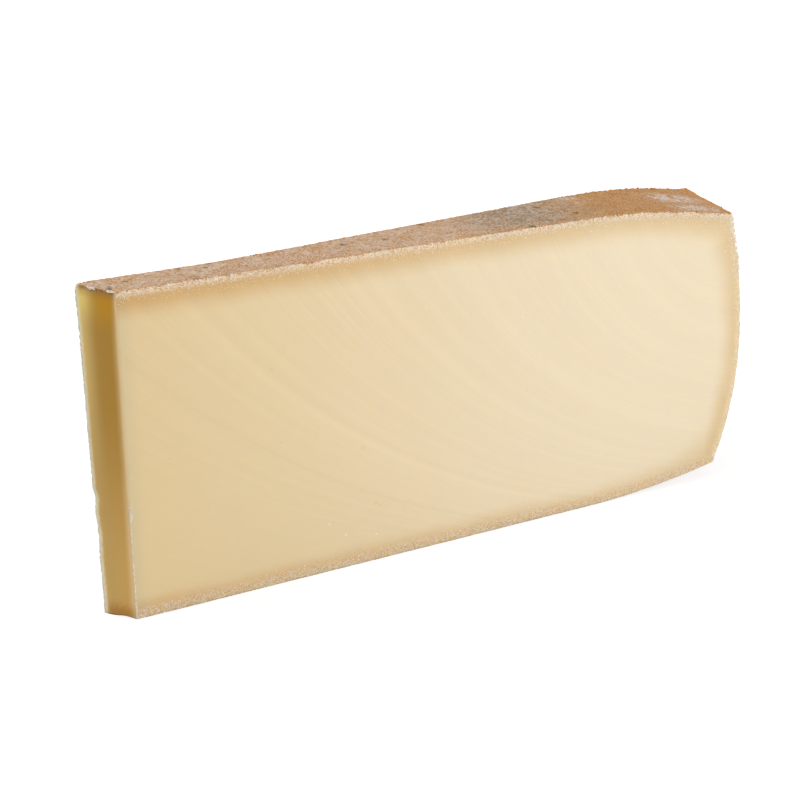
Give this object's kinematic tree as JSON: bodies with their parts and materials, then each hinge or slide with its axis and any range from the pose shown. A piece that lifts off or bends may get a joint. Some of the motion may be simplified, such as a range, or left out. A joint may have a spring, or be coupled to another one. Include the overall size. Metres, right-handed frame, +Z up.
{
  "type": "gruyere cheese wedge",
  "caption": "Tall slab-like wedge of hard mountain cheese, cut from a wheel, with rind on top, bottom and the curved rim end.",
  "frame": {"origin": "centre of the box's bottom face, level with the flat bottom rind that the piece stands on", "axes": "+X along the long front cut, from the slanting tip cut to the curved rim; +Y from the front cut through the thickness to the back cut; +Z up, across the height of the wheel"},
  "size_m": [0.2462, 0.0354, 0.105],
  "materials": {
    "cheese": "smooth waxy pale yellow paste, with a sandy brown rind on the top, bottom and rim"
  },
  "bodies": {
    "root": {"cheese": "cheese"}
  },
  "joints": []
}
